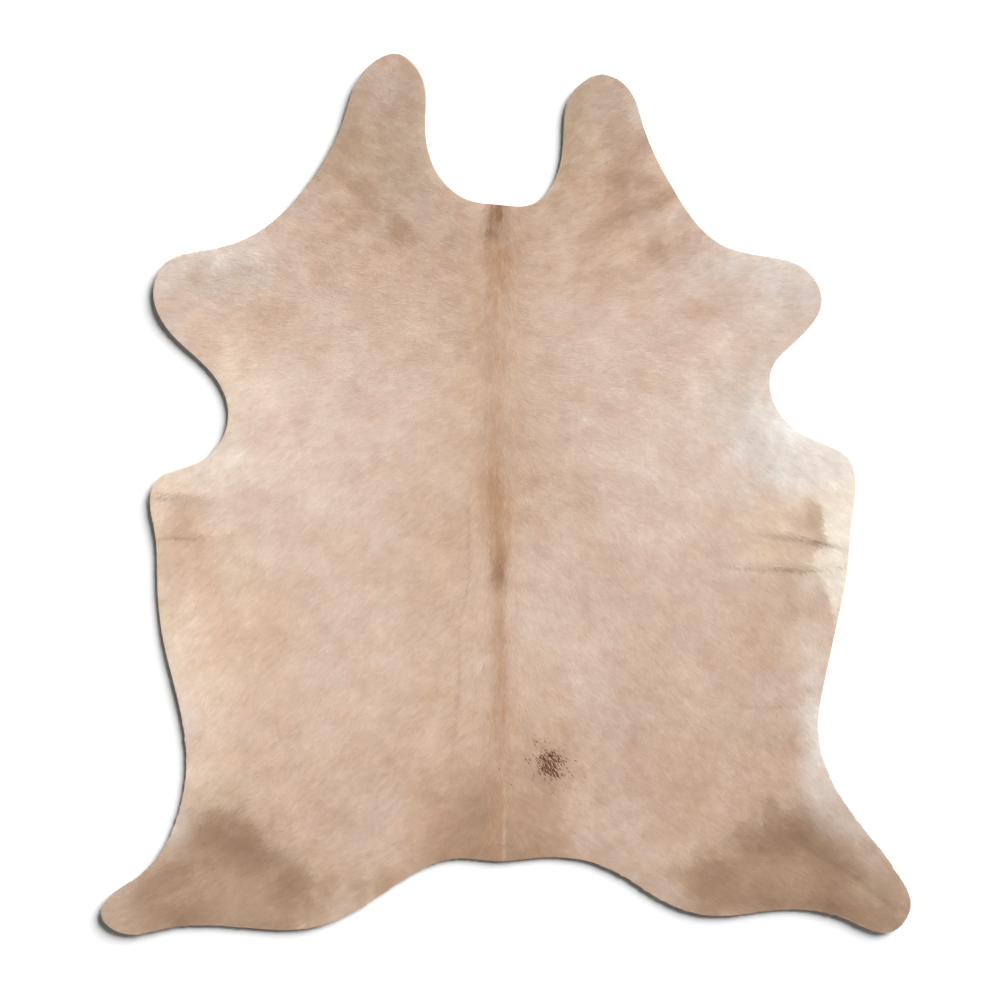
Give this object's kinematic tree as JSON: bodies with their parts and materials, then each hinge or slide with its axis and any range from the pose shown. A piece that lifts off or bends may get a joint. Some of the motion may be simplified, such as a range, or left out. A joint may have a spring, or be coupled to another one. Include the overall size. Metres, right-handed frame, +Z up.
{
  "type": "leather hide",
  "caption": "Whole hair-on cattle hide laid flat as a floor rug: tanned skin with its short coat, forelegs, hind legs and split neck left on.",
  "frame": {"origin": "on the floor, under the middle of the hide's box", "axes": "+Z up out of the coat, +Y from the tail towards the neck, +X to the right when the coat is seen from above with the neck at the top"},
  "size_m": [2.0226, 2.2, 0.0174],
  "materials": {
    "coat": "short beige hair lying on tanned leather, dull with a faint sheen",
    "flesh_side": "pale suede, matt"
  },
  "bodies": {
    "root": {"hide": "coat"}
  },
  "joints": []
}
